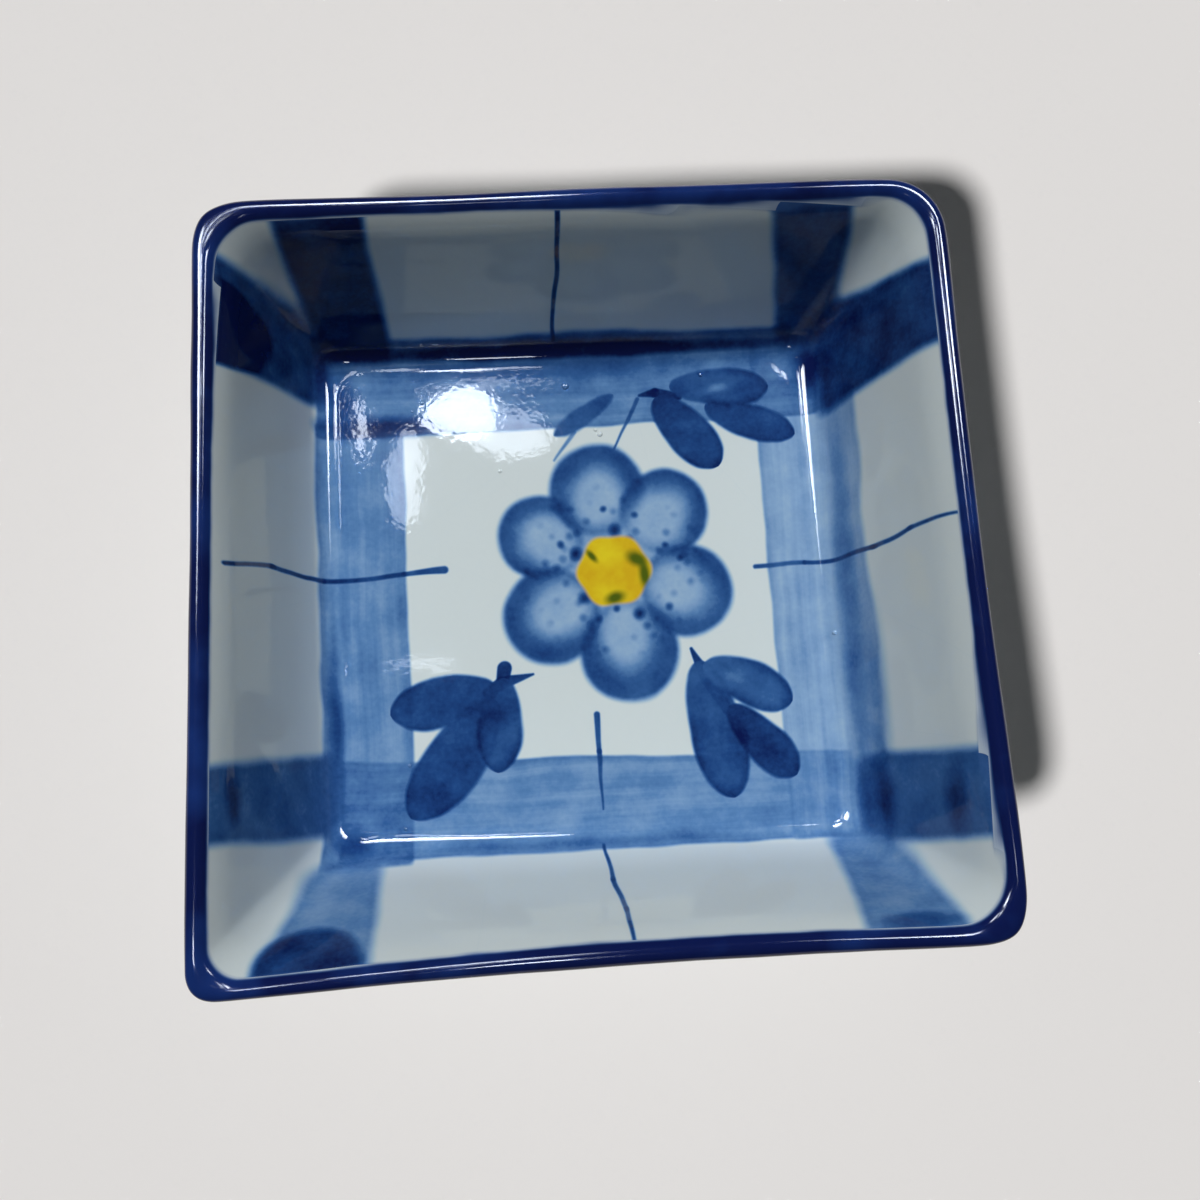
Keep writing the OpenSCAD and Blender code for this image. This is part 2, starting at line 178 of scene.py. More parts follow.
# The coats' undersides and ends reach the slab's own points, and go
slab = copy_of("stoneware_shell", "slab_points")
slab_points = KDTree(len(slab.data.vertices))
for number, point in enumerate(slab.data.vertices):
    slab_points.insert(point.co, number)
slab_points.balance()
bpy.data.objects.remove(slab)
edit_points(skin, lambda position: slab_points.find(position)[2] < SAME_POINT)
bpy.ops.mesh.delete(type="VERT")
bpy.ops.mesh.select_all(action="SELECT")
bpy.ops.mesh.remove_doubles(threshold=SAME_POINT)
bpy.ops.object.mode_set(mode="OBJECT")

# The floor's fan of triangles becomes a grid, ringed by two insets that keep the bend at its edge
floor_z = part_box("petals")[0].z
edit_points(skin, lambda position: abs(position.z - floor_z) < SAME_POINT
            and position.xy.length < FLOOR_REACH)
bpy.ops.mesh.dissolve_verts()
bpy.ops.mesh.select_mode(type="FACE")
bpy.ops.object.mode_set(mode="OBJECT")
for face in skin.data.polygons:
    face.select = len(face.vertices) > 4
bpy.ops.object.mode_set(mode="EDIT")
for inset in FLOOR_INSETS:
    bpy.ops.mesh.inset(thickness=inset)
bpy.ops.mesh.delete(type="ONLY_FACE")
bpy.ops.mesh.select_mode(type="EDGE")
bpy.ops.object.mode_set(mode="OBJECT")
flat_floor = [abs(point.co.z - floor_z) < SAME_POINT for point in skin.data.vertices]
used = {}
for face in skin.data.polygons:
    for key in face.edge_keys:
        used[key] = used.get(key, 0) + 1
for edge in skin.data.edges:
    edge.select = used.get(edge.key) == 1 and all(flat_floor[end] for end in edge.vertices)
bpy.ops.object.mode_set(mode="EDIT")
bpy.ops.mesh.fill_grid(span=FLOOR_SPAN)
bpy.ops.mesh.select_all(action="SELECT")
bpy.ops.mesh.tris_convert_to_quads(face_threshold=QUAD_BEND, shape_threshold=QUAD_SKEW)
bpy.ops.mesh.normals_make_consistent(inside=False)
bpy.ops.object.mode_set(mode="OBJECT")

# The corners are pinched out on their outer side only, so the lip is thickest there
box_low, box_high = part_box("rim_glaze")
for point in skin.data.vertices:
    side = (-1 if point.co.x < 0 else 1, -1 if point.co.y < 0 else 1)
    near = part_way(min(abs(point.co.x), abs(point.co.y)), PINCH_FROM, PINCH_FULL)
    up = part_way(point.co.z, PINCH_LOW, PINCH_HIGH)
    facing = part_way(point.normal.dot(Vector((*side, 0)).normalized()), *PINCH_FACING)
    share = PINCH[side] * near * up * facing
    for axis in (0, 1):
        limit = (box_low if side[axis] < 0 else box_high)[axis]
        point.co[axis] += share * (limit - point.co[axis])

# How much cobalt lies at each point: all of it on the lip, half at its borders, none a row further
cobalt = skin.data.attributes.new("cobalt", "FLOAT", "POINT")
kinds = {}
for face in skin.data.polygons:
    for corner in face.vertices:
        kinds.setdefault(corner, set()).add(face.material_index == LIP)
for corner, on_lip in kinds.items():
    cobalt.data[corner].value = sum(on_lip) / len(on_lip)

pressed = skin.vertex_groups.new(name="pressed")
for point in skin.data.vertices:
    pressed.add([point.index], part_way(point.co.z, FOOT_TOP, BODY_FROM), "REPLACE")
for face in skin.data.polygons:
    if face.material_index == INSIDE:
        for corner in face.vertices:
            rise = part_way(skin.data.vertices[corner].co.z, floor_z, BODY_FROM)
            pressed.add([corner], FLOOR_SHARE + (1 - FLOOR_SHARE) * rise, "REPLACE")

smooth = skin.modifiers.new("smooth", "SUBSURF")
smooth.levels = smooth.render_levels = SMOOTHING
for name, (size, depth) in (("finger marks", FINGER_MARKS), ("glaze runs", GLAZE_RUNS)):
    marks = bpy.data.textures.new(name, "CLOUDS")
    marks.noise_scale = size
    marks.noise_depth = 1
    push = skin.modifiers.new(name, "DISPLACE")
    push.texture = marks
    push.texture_coords = "LOCAL"
    push.strength = depth
    push.vertex_group = "pressed"
apply_modifiers(skin)
skin.vertex_groups.clear()

# None of it reaches out of the part's own box
for point in skin.data.vertices:
    for axis in range(3):
        point.co[axis] = min(cad_box[1][axis], max(cad_box[0][axis], point.co[axis]))

only(skin)
bpy.ops.object.mode_set(mode="EDIT")
bpy.ops.mesh.select_all(action="SELECT")
bpy.ops.mesh.separate(type="MATERIAL")
bpy.ops.object.mode_set(mode="OBJECT")
parted = {piece.data.materials[piece.data.polygons[0].material_index].name: piece
          for piece in bpy.context.selected_objects}


def finish_coat(material, name, slot, *replaced):
    """Gives a parted coat its thickness and its place in the part."""
    coat = parted[material.name]
    coat.name = coat.data.name = name
    coat.data.materials.clear()
    coat.data.materials.append(material)
    coat.data.polygons.foreach_set("material_index", [0] * len(coat.data.polygons))
    thick = coat.modifiers.new("thickness", "SOLIDIFY")
    thick.thickness = COAT_THICKNESS
    thick.offset = -1
    thick.use_even_offset = True
    apply_modifiers(coat)
    bpy.ops.object.shade_smooth_by_angle(angle=SHARP_FROM)
    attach(coat, "root")
    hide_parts(*replaced)
    return coat


# White glaze inside, with the cobalt brushwork under it
# A stoneware glaze poured into the bowl over the painting: milky, slightly blue-green, very glossy and a
# little uneven. The cobalt is brushed on the raw body, so its edges bleed a fraction of a millimetre and
# its tone follows how much of it the brush left.
inner = finish_coat(painted_glaze, "painted_inner_glaze", "white_glaze", "inner_glaze", "floor_bands",
                    "wall_strokes", "tick_lines", "petals", "flower_centre", "leaf_sprays")
# How much of what lies under it each ink hides: an ordinary stroke's, a full brush's, a thin wash's
STROKE_COVER, FULL_BRUSH_COVER, WASH_COVER = 0.85, 0.93, 0.74


def colour(code):
    """Linear colour of an sRGB hex code."""
    parts = [int(code[start:start + 2], 16) / 255 for start in (1, 3, 5)]
    return (*[part / 12.92 if part <= 0.04045 else ((part + 0.055) / 1.055) ** 2.4 for part in parts], 1)


def add(tree, kind, inputs=None, **settings):
    """Adds a node with its settings, and sets or links its inputs. Nothing is clamped unless it says so."""
    made = tree.nodes.new(kind)
    if hasattr(made, "clamp"):
        made.clamp = False
    for setting, value in settings.items():
        setattr(made, setting, value)
    for socket, value in (inputs or {}).items():
        if isinstance(value, bpy.types.Node):
            value = next(output for output in value.outputs if output.enabled)
        if isinstance(value, bpy.types.NodeSocket):
            tree.links.new(value, made.inputs[socket])
        else:
            made.inputs[socket].default_value = value
    return made


def open_material(material):
    """Empties a material's tree, and gives it with the place on the piece in millimetres."""
    material.use_nodes = True
    tree = material.node_tree
    tree.nodes.clear()
    metres = add(tree, "ShaderNodeTexCoord").outputs["Object"]
    return tree, add(tree, "ShaderNodeVectorMath", {0: metres, "Scale": 1 / MM}, operation="SCALE")


def group(name, inputs):
    """A node group with these inputs and one number out, and its two end nodes."""
    tree = bpy.data.node_groups.new(name, "ShaderNodeTree")
    for label, kind in inputs.items():
        tree.interface.new_socket(label, in_out="INPUT", socket_type="NodeSocket" + kind)
    tree.interface.new_socket("Ink", in_out="OUTPUT", socket_type="NodeSocketFloat")
    return tree, tree.nodes.new("NodeGroupInput").outputs, tree.nodes.new("NodeGroupOutput").inputs


def lay_ink(tree, under, ink, mask, cover=STROKE_COVER):
    """Ink laid over what is under it: it covers most of that, and the rest adds to it."""
    kept = add(tree, "ShaderNodeMath", {0: under, 1: -cover, 2: ink}, operation="MULTIPLY_ADD")
    return add(tree, "ShaderNodeMath", {0: kept, 1: mask, 2: under}, operation="MULTIPLY_ADD").outputs[0]


def brush_mark(name, outline):
    """A pressed brush mark. Its half width follows outline from where the brush lands to where it lifts."""
    tree, given, out = group(name, {
        "Place": "Vector", "Start": "Vector", "Turn": "Vector", "Length": "Float", "Half width": "Float",
        "Ink": "Float", "Rim ink": "Float", "Rim": "Float", "Rim from": "Float", "Under": "Float"})
    local = add(tree, "ShaderNodeMapping", {"Vector": given["Place"], "Location": given["Start"],
                                            "Rotation": given["Turn"]}, vector_type="TEXTURE")
    parts = add(tree, "ShaderNodeSeparateXYZ", {0: local})
    along = add(tree, "ShaderNodeMath", {0: parts.outputs[0], 1: given["Length"]}, operation="DIVIDE")
    half = add(tree, "ShaderNodeFloatCurve", {"Value": along})
    half.mapping.extend = "HORIZONTAL"
    curve = half.mapping.curves[0]
    curve.points[0].location, curve.points[1].location = outline[0], outline[-1]
    for point in outline[1:-1]:
        curve.points.new(*point)
    half.mapping.update()
    across = add(tree, "ShaderNodeMath", {0: parts.outputs[1]}, operation="ABSOLUTE")
    edge = add(tree, "ShaderNodeMath", {0: half, 1: given["Half width"]}, operation="MULTIPLY")
    inside = add(tree, "ShaderNodeMath", {0: edge, 1: across}, operation="SUBTRACT")
    to_end = add(tree, "ShaderNodeMath", {0: given["Length"], 1: parts.outputs[0]}, operation="SUBTRACT")
    depth = add(tree, "ShaderNodeMath", {0: inside, 1: to_end}, operation="MINIMUM")
    # The edge bleeds over a millimetre. Inside it the ink gathers in a rim, on the later part of the mark.
    mask = add(tree, "ShaderNodeMapRange", {0: inside, 1: -0.1, 2: 0.9}, interpolation_type="SMOOTHSTEP")
    rim = add(tree, "ShaderNodeMapRange", {0: depth, 1: 0.4, 2: given["Rim"], 3: 1.0, 4: 0.0},
              interpolation_type="SMOOTHSTEP")
    past = add(tree, "ShaderNodeMath", {0: given["Rim from"], 1: 0.25}, operation="ADD")
    out_there = add(tree, "ShaderNodeMapRange", {0: along, 1: given["Rim from"], 2: past},
                    interpolation_type="SMOOTHSTEP")
    rim_here = add(tree, "ShaderNodeMath", {0: rim, 1: out_there}, operation="MULTIPLY")
    ink = add(tree, "ShaderNodeMath", {0: rim_here, 1: given["Rim ink"], 2: given["Ink"]},
              operation="MULTIPLY_ADD")
    tree.links.new(lay_ink(tree, given["Under"], ink, mask, FULL_BRUSH_COVER), out["Ink"])
    return tree


def thin_stroke():
    """A straight tapered stroke between two places, seen from above."""
    tree, given, out = group("thin stroke", {
        "Place": "Vector", "Start": "Vector", "Way": "Vector", "Length": "Float",
        "Half width": "Float", "Half width at end": "Float", "Ink": "Float", "Under": "Float"})
    from_start = add(tree, "ShaderNodeVectorMath", {0: given["Place"], 1: given["Start"]},
                     operation="SUBTRACT")
    run = add(tree, "ShaderNodeVectorMath", {0: from_start, 1: given["Way"]}, operation="DOT_PRODUCT")
    ahead = add(tree, "ShaderNodeMath", {0: run, 1: 0.0}, operation="MAXIMUM")
    held = add(tree, "ShaderNodeMath", {0: ahead, 1: given["Length"]}, operation="MINIMUM")
    foot = add(tree, "ShaderNodeVectorMath", {0: given["Way"], "Scale": held}, operation="SCALE")
    off = add(tree, "ShaderNodeVectorMath", {0: from_start, 1: foot}, operation="SUBTRACT")
    away = add(tree, "ShaderNodeVectorMath", {0: off}, operation="LENGTH")
    half = add(tree, "ShaderNodeMapRange", {0: held, 2: given["Length"], 3: given["Half width"],
                                            4: given["Half width at end"]})
    inside = add(tree, "ShaderNodeMath", {0: half, 1: away}, operation="SUBTRACT")
    # Its edge bleeds over half a millimetre
    mask = add(tree, "ShaderNodeMapRange", {0: inside, 1: -0.15, 2: 0.35}, interpolation_type="SMOOTHSTEP")
    tree.links.new(lay_ink(tree, given["Under"], given["Ink"], mask), out["Ink"])
    return tree


def wall_dab():
    """A broad stroke up a wall, between two edges that lean with the wall's height."""
    tree, given, out = group("wall dab", {
        "Along": "Float", "Outward": "Float", "Height": "Float", "Low edge": "Float", "High edge": "Float",
        "Low edge at lip": "Float", "High edge at lip": "Float", "Begins": "Float", "Ink": "Float",
        "Under": "Float"})
    low = add(tree, "ShaderNodeMapRange", {0: given["Height"], 3: given["Low edge"],
                                           4: given["Low edge at lip"]})
    high = add(tree, "ShaderNodeMapRange", {0: given["Height"], 3: given["High edge"],
                                            4: given["High edge at lip"]})
    from_low = add(tree, "ShaderNodeMath", {0: given["Along"], 1: low}, operation="SUBTRACT")
    from_high = add(tree, "ShaderNodeMath", {0: high, 1: given["Along"]}, operation="SUBTRACT")
    from_foot = add(tree, "ShaderNodeMath", {0: given["Outward"], 1: given["Begins"]}, operation="SUBTRACT")
    side = add(tree, "ShaderNodeMath", {0: from_low, 1: from_high}, operation="MINIMUM")
    # Its foot has round corners, and its edge bleeds over 2.6 mm and holds a trace more ink
    inside = add(tree, "ShaderNodeMath", {0: side, 1: from_foot, 2: 4.0}, operation="SMOOTH_MIN")
    mask = add(tree, "ShaderNodeMapRange", {0: inside, 1: -1.3, 2: 1.3}, interpolation_type="SMOOTHSTEP")
    edge = add(tree, "ShaderNodeMapRange", {0: inside, 1: 0.6, 2: 2.6, 3: 0.04, 4: 0.0},
               interpolation_type="SMOOTHSTEP")
    ink = add(tree, "ShaderNodeMath", {0: given["Ink"], 1: edge}, operation="ADD")
    tree.links.new(lay_ink(tree, given["Under"], ink, mask), out["Ink"])
    return tree


def blot():
    """A soft round or long spot where cobalt gathered, or was wiped off."""
    tree, given, out = group("blot", {
        "Place": "Vector", "Middle": "Vector", "Turn": "Vector", "Size": "Vector", "Softness": "Float",
        "Ink": "Float", "Under": "Float"})
    local = add(tree, "ShaderNodeMapping", {"Vector": given["Place"], "Location": given["Middle"],
                                            "Rotation": given["Turn"], "Scale": given["Size"]},
                vector_type="TEXTURE")
    away = add(tree, "ShaderNodeVectorMath", {0: local}, operation="LENGTH")
    core = add(tree, "ShaderNodeMath", {0: 1.0, 1: given["Softness"]}, operation="SUBTRACT")
    mask = add(tree, "ShaderNodeMapRange", {0: away, 1: core, 2: 1.0, 3: 1.0, 4: 0.0},
               interpolation_type="SMOOTHSTEP")
    tree.links.new(lay_ink(tree, given["Under"], given["Ink"], mask), out["Ink"])
    return tree


# Places are in millimetres, and so is each pattern's size: its scale is one over that
paint, true_place = open_material(painted_glaze)
# The hand isn't steady: every edge wanders by a few tenths of a millimetre, in waves this long
WANDER, WAVE_LENGTH = 1.6, 14.3
wander = add(paint, "ShaderNodeTexNoise", {"Vector": true_place, "Scale": 1 / WAVE_LENGTH, "Detail": 1.5})
centred = add(paint, "ShaderNodeVectorMath", {0: wander.outputs["Color"], 1: (0.5, 0.5, 0.5)},
              operation="SUBTRACT")
place = add(paint, "ShaderNodeVectorMath", {0: centred, 1: (WANDER, WANDER, 0.0), 2: true_place},
            operation="MULTIPLY_ADD")
x, y, z = add(paint, "ShaderNodeSeparateXYZ", {0: place}).outputs
seen_above = add(paint, "ShaderNodeCombineXYZ", {0: x, 1: y})
minus_x = add(paint, "ShaderNodeMath", {0: x, 1: -1.0}, operation="MULTIPLY").outputs[0]
minus_y = add(paint, "ShaderNodeMath", {0: y, 1: -1.0}, operation="MULTIPLY").outputs[0]
# The heights of the wall's foot and top, between which the wall strokes lean
WALL_FOOT, WALL_TOP = 8.0, 39.0
height = add(paint, "ShaderNodeMapRange", {0: z, 1: WALL_FOOT, 2: WALL_TOP})
# The streaks that bristles leave, first along x and then along y, and the mottle and the grain of a wash
STREAK_LENGTH, STREAK_WIDTH, STREAK_HEIGHT = 50, 1.82, 3.33
MOTTLE_SIZE, GRAIN_SIZE = 6.25, 0.833
streaks = []
for sizes in ((STREAK_LENGTH, STREAK_WIDTH, STREAK_HEIGHT), (STREAK_WIDTH, STREAK_LENGTH, STREAK_HEIGHT)):
    drawn = add(paint, "ShaderNodeVectorMath", {0: place, 1: [1 / size for size in sizes]},
                operation="MULTIPLY")
    streaks.append(add(paint, "ShaderNodeTexNoise", {"Vector": drawn, "Scale": 1.0, "Detail": 3.0}))
mottle = add(paint, "ShaderNodeTexNoise", {"Vector": true_place, "Scale": 1 / MOTTLE_SIZE, "Detail": 3.0})
grain = add(paint, "ShaderNodeTexNoise", {"Vector": true_place, "Scale": 1 / GRAIN_SIZE, "Detail": 2.0})

# The painted frame: four strokes of thin wash. Each is its side, its inner edge and how that leans along
# the side, its outer edge, its two ends, its ink and the way of its bristle streaks.
OUT = {"right": x, "back": y, "left": minus_x, "front": minus_y}
ALONG = {"right": y, "back": x, "left": y, "front": x}
FRAME = [
    ("left", 32.8, 0.0, 49.2, -47.5, 35.0, 0.43, 1),
    ("front", 29.7, 0.032, 46.8, -46.5, 46.8, 0.42, 0),
    ("right", 34.5, -0.010, 51.0, -47.0, 48.6, 0.31, 1),
    ("back", 32.3, 0.012, 50.0, -49.0, 46.5, 0.47, 0),
]
# Each has rounded corners, an edge that bleeds over 0.8 mm, a darker rim and the streaks of the bristles
CORNER_ROUNDING, RIM_INK, STREAK_INK = 1.2, 0.06, 0.05
ink = 0.0
for side, edge, lean, outer, first, last, amount, drawn in FRAME:
    inner_edge = add(paint, "ShaderNodeMath", {0: ALONG[side], 1: lean, 2: edge}, operation="MULTIPLY_ADD")
    from_inner = add(paint, "ShaderNodeMath", {0: OUT[side], 1: inner_edge}, operation="SUBTRACT")
    from_outer = add(paint, "ShaderNodeMath", {0: outer, 1: OUT[side]}, operation="SUBTRACT")
    from_first = add(paint, "ShaderNodeMath", {0: ALONG[side], 1: first}, operation="SUBTRACT")
    from_last = add(paint, "ShaderNodeMath", {0: last, 1: ALONG[side]}, operation="SUBTRACT")
    across = add(paint, "ShaderNodeMath", {0: from_inner, 1: from_outer}, operation="MINIMUM")
    ends = add(paint, "ShaderNodeMath", {0: from_first, 1: from_last}, operation="MINIMUM")
    inside = add(paint, "ShaderNodeMath", {0: across, 1: ends, 2: CORNER_ROUNDING}, operation="SMOOTH_MIN")
    mask = add(paint, "ShaderNodeMapRange", {0: inside, 1: -0.2, 2: 0.6}, interpolation_type="SMOOTHSTEP")
    edge_ink = add(paint, "ShaderNodeMapRange", {0: inside, 1: 0.3, 2: 2.0, 3: amount + RIM_INK, 4: amount},
                   interpolation_type="SMOOTHSTEP")
    streaky = add(paint, "ShaderNodeMapRange", {0: streaks[drawn], 1: 0.3, 2: 0.7, 3: -STREAK_INK,
                                                4: STREAK_INK})
    laid = add(paint, "ShaderNodeMath", {0: edge_ink, 1: streaky}, operation="ADD")
    ink = lay_ink(paint, ink, laid, mask, WASH_COVER)

blots = blot()


def lay_blots(ink, over, table):
    """Soft spots, one over the other: middle, half sizes, turn in degrees, softness, ink."""
    for middle, size, turn, softness, amount in table:
        ink = add(paint, "ShaderNodeGroup", {
            "Place": over, "Middle": middle, "Turn": (0, 0, math.radians(turn)), "Size": size,
            "Softness": softness, "Ink": amount, "Under": ink}, node_tree=blots).outputs[0]
    return ink


# Where the wash gathered or thinned, and where the back crease is darkened as painted shade
GATHERED_INK_AND_SHADE = [
    # The dark line along the left crease, and the darker back stroke with its deep crease, whose dark is
    # partly gathered wash and partly painted shade
    ((-46.8, -22, 8.5), (2.0, 24, 5), 0, 0.9, 0.66),
    ((-44.5, -43, 8.5), (5.5, 4.5, 5), 0, 0.9, 0.68),
    ((-38, 34.2, 8), (20, 3.2, 5), -2, 0.85, 0.82),
    ((-44, 38, 8), (5.5, 9, 5), 12, 1.0, 0.68),
    ((-1, 44.8, 8.5), (52, 4.6, 6), 0, 1.0, 0.62),
    ((-1, 48.4, 9.5), (53, 2.6, 6), 0, 1.0, 0.82),
    ((-1, 47.6, 8.6), (52, 1.9, 3.4), 0, 0.7, 0.98),
    # The back right corner, where the brush lifted
    ((43.5, 45.6, 8.2), (5.5, 3.4, 4), 0, 0.8, 0.60), ((45.4, 42.5, 8.8), (3.6, 7.4, 5), -6, 0.9, 0.96),
    # The right stroke's second pass, up the foot of the wall
    ((48.5, -2, 11), (2.3, 46, 9), 0, 0.8, 0.50),
    ((50.6, -22, 15), (2.4, 26, 9), 0, 0.9, 0.40),
    # The front crease
    ((0, -45.2, 8.5), (46, 1.4, 5), 0, 0.9, 0.50),
]
ink = lay_blots(ink, place, GATHERED_INK_AND_SHADE)

# The broad strokes on the walls: side, the two edges at the foot, the two at the lip, where it begins, ink
dabs = wall_dab()
WALL_DABS = [
    ("back", -47.3, -34.6, -51.0, -35.9, 46.6, 0.93),
    ("back", 39.9, 50.2, 34.2, 48.5, 46.6, 0.82),
    ("left", 38.3, 50.3, 37.0, 55.2, 46.6, 0.78),
    ("left", -41.4, -27.0, -41.5, -29.4, 46.6, 0.62),
    ("right", 31.8, 52.0, 35.7, 50.2, 46.4, 0.84),
    ("right", -47.8, -32.8, -47.2, -32.8, 47.2, 0.63),
    ("front", -48.4, -38.2, -55.2, -37.6, 46.0, 0.42),
    ("front", 41.2, 49.4, 39.2, 55.5, 46.0, 0.43),
]
for side, low, high, low_lip, high_lip, begins, amount in WALL_DABS:
    ink = add(paint, "ShaderNodeGroup", {
        "Along": ALONG[side], "Outward": OUT[side], "Height": height, "Low edge": low, "High edge": high,
        "Low edge at lip": low_lip, "High edge at lip": high_lip, "Begins": begins, "Ink": amount,
        "Under": ink}, node_tree=dabs).outputs[0]

# Where a wall stroke is thicker or thinner
POOLED = [
    ((-47.3, -60, 40), (9.6, 8, 15), 0, 0.25, 0.80), ((48.3, -59.4, 38.4), (8.8, 2.6, 4.6), 0, 0.7, 0.68),
    ((-58.8, -34.6, 34.5), (1.7, 6.0, 4.5), 0, 0.85, 0.86), ((57.5, -41, 33), (2.8, 8.6, 6), 0, 1.0, 0.84),
    ((50.3, -41.5, 16.5), (2.2, 8.4, 5), 0, 1.0, 0.84), ((-60, 44, 38), (10, 8.2, 22), 0, 0.2, 0.98),
    ((-43.5, 56, 26), (2.4, 5, 7), 0, 1.0, 0.78), ((-39, 50, 13), (5, 4, 6), 0, 0.9, 0.97),
    ((54, 43.5, 26), (7, 1.5, 12), 0, 0.9, 0.74), ((49.5, 36, 11), (1.8, 3.0, 3), 0, 0.8, 0.35),
]
ink = lay_blots(ink, place, POOLED)

thin = thin_stroke()
# Thin strokes, piece by piece: start, end, half width at both, ink. First the lines on the four sides.
TICKS = [
    ((-2.5, 62.5), (-3.9, 47.8), 0.55, 0.45, 0.85),
    ((-59.5, 3.45), (-54.7, 4.65), 0.45, 0.5, 0.85), ((-54.7, 4.65), (-48.1, 4.75), 0.5, 0.5, 0.80),
    ((-48.1, 4.75), (-33.4, 5.65), 0.5, 0.55, 0.78), ((-33.4, 5.65), (-26.0, 5.85), 0.55, 0.8, 0.74),
    ((32.4, 3.95), (41.6, 4.15), 0.5, 0.5, 0.64), ((41.6, 4.15), (51.6, 4.15), 0.5, 0.5, 0.76),
    ((51.6, 4.15), (55.5, 5.35), 0.5, 0.45, 0.74), ((55.5, 5.35), (60.6, 5.35), 0.45, 0.35, 0.74),
    ((0.6, -22.55), (0.7, -29.15), 0.7, 0.55, 0.70), ((0.7, -29.15), (0.9, -39.45), 0.6, 0.2, 0.70),
    ((0.8, -45.85), (1.1, -51.05), 0.35, 0.5, 0.74), ((1.1, -51.05), (2.2, -55.35), 0.5, 0.5, 0.72),
    ((2.2, -55.35), (2.5, -60.0), 0.5, 0.35, 0.70),
]
# The stems of the left front spray, the right front spray with its spine, the back right spray and the back
# left leaf
STEMS = [
    ((-10.5, -14.25), (-15.2, -15.3), 0.3, 1.2, 0.78), ((-15.9, -12.9), (-16.3, -15.5), 1.5, 1.3, 0.82),
    ((-16.3, -15.5), (-19.0, -17.5), 1.3, 1.1, 0.80),
    ((19.2, -10.9), (21.8, -17.0), 0.4, 1.5, 0.85), ((21.8, -17.0), (25.0, -23.0), 1.5, 1.0, 0.84),
    ((25.0, -23.0), (28.2, -28.5), 1.0, 0.6, 0.84),
    ((12.3, 38.4), (15.4, 38.6), 0.4, 1.1, 0.80), ((15.4, 38.6), (20.0, 37.6), 1.1, 0.8, 0.78),
    ((11.8, 37.65), (9.9, 33.5), 0.5, 0.45, 0.68), ((9.9, 33.5), (6.7, 27.9), 0.45, 0.3, 0.62),
    ((-0.8, 31.6), (-4.5, 26.3), 0.5, 0.3, 0.45),
]


def thin_strokes(ink, table):
    """Thin strokes, one over the other."""
    for start, end, half, half_end, amount in table:
        way = Vector(end) - Vector(start)
        ink = add(paint, "ShaderNodeGroup", {
            "Place": seen_above, "Start": (*start, 0), "Way": (*way.normalized(), 0), "Length": way.length,
            "Half width": half, "Half width at end": half_end, "Ink": amount, "Under": ink},
            node_tree=thin).outputs[0]
    return ink


def brush_marks(ink, shape, table):
    """Marks of one brush: where it lands, where it lifts, half width, ink, the rim's added ink and depth, and
    the share of the mark from which it has a rim."""
    for start, end, half, amount, rim_ink, rim, rim_from in table:
        way = Vector(end) - Vector(start)
        ink = add(paint, "ShaderNodeGroup", {
            "Place": seen_above, "Start": (*start, 0), "Turn": (0, 0, math.atan2(way.y, way.x)),
            "Length": way.length, "Half width": half, "Ink": amount, "Rim ink": rim_ink, "Rim": rim,
            "Rim from": rim_from, "Under": ink}, node_tree=shape).outputs[0]
    return ink


ink = thin_strokes(ink, TICKS)

# The blossom: six petals round a yellow middle, each lapping the last
FLOWER = Vector((5.4, 4.35))
# How far a petal's wash runs past its radius, as a factor, and the half sizes of its pale heart
BLED = 1.06
PALE_HEART = (9.8, 7.8)
# Each petal: its middle, its radius, and how far its pale heart lies towards the middle of the blossom
PETALS = [
    ((-7.9, 11.4), 8.4, 2.0), ((3.2, 20.3), 9.2, 2.0), ((15.6, 15.3), 8.4, 2.0), ((19.0, 0.2), 9.0, 2.0),
    ((7.5, -10.9), 9.6, 3.2), ((-6.8, -3.6), 9.3, 2.0),
]
# A pale wash in the middle first, then each petal's own wash and its pale heart
wash_of_petals = [((*FLOWER, 0), (11, 11, 1), 0, 0.25, 0.38)]
for middle, radius, back in PETALS:
    outward = (Vector(middle) - FLOWER).normalized()
    heart = Vector(middle) - back * outward
    bearing = math.degrees(math.atan2(outward.y, outward.x))
    wash_of_petals.append(((*middle, 0), (BLED * radius, BLED * radius, 1), 0, 0.18, 0.70))
    wash_of_petals.append(((*heart, 0), (*PALE_HEART, 1), bearing, 0.66, 0.17))
ink = lay_blots(ink, seen_above, wash_of_petals)
# The wet wash near the middle is speckled: how far apart the specks are, and where they thin out and end
SPECK_SPACING = 2.94
SPECKS_THIN_OUT, SPECKS_END = 12.0, 20.0
from_flower = add(paint, "ShaderNodeVectorMath", {0: seen_above, 1: (*FLOWER, 0)}, operation="DISTANCE")
near = add(paint, "ShaderNodeMapRange", {0: from_flower, 1: SPECKS_THIN_OUT, 2: SPECKS_END, 3: 1.0, 4: 0.0},
           interpolation_type="SMOOTHSTEP")
spatter = add(paint, "ShaderNodeTexVoronoi", {"Vector": true_place, "Scale": 1 / SPECK_SPACING})
specks = add(paint, "ShaderNodeMapRange", {0: spatter, 1: 0.04, 2: 0.42, 3: 0.20, 4: 0.0},
             interpolation_type="SMOOTHSTEP")
specks = add(paint, "ShaderNodeMath", {0: specks, 1: near}, operation="MULTIPLY")
ink = add(paint, "ShaderNodeMath", {0: ink, 1: specks}, operation="ADD").outputs[0]

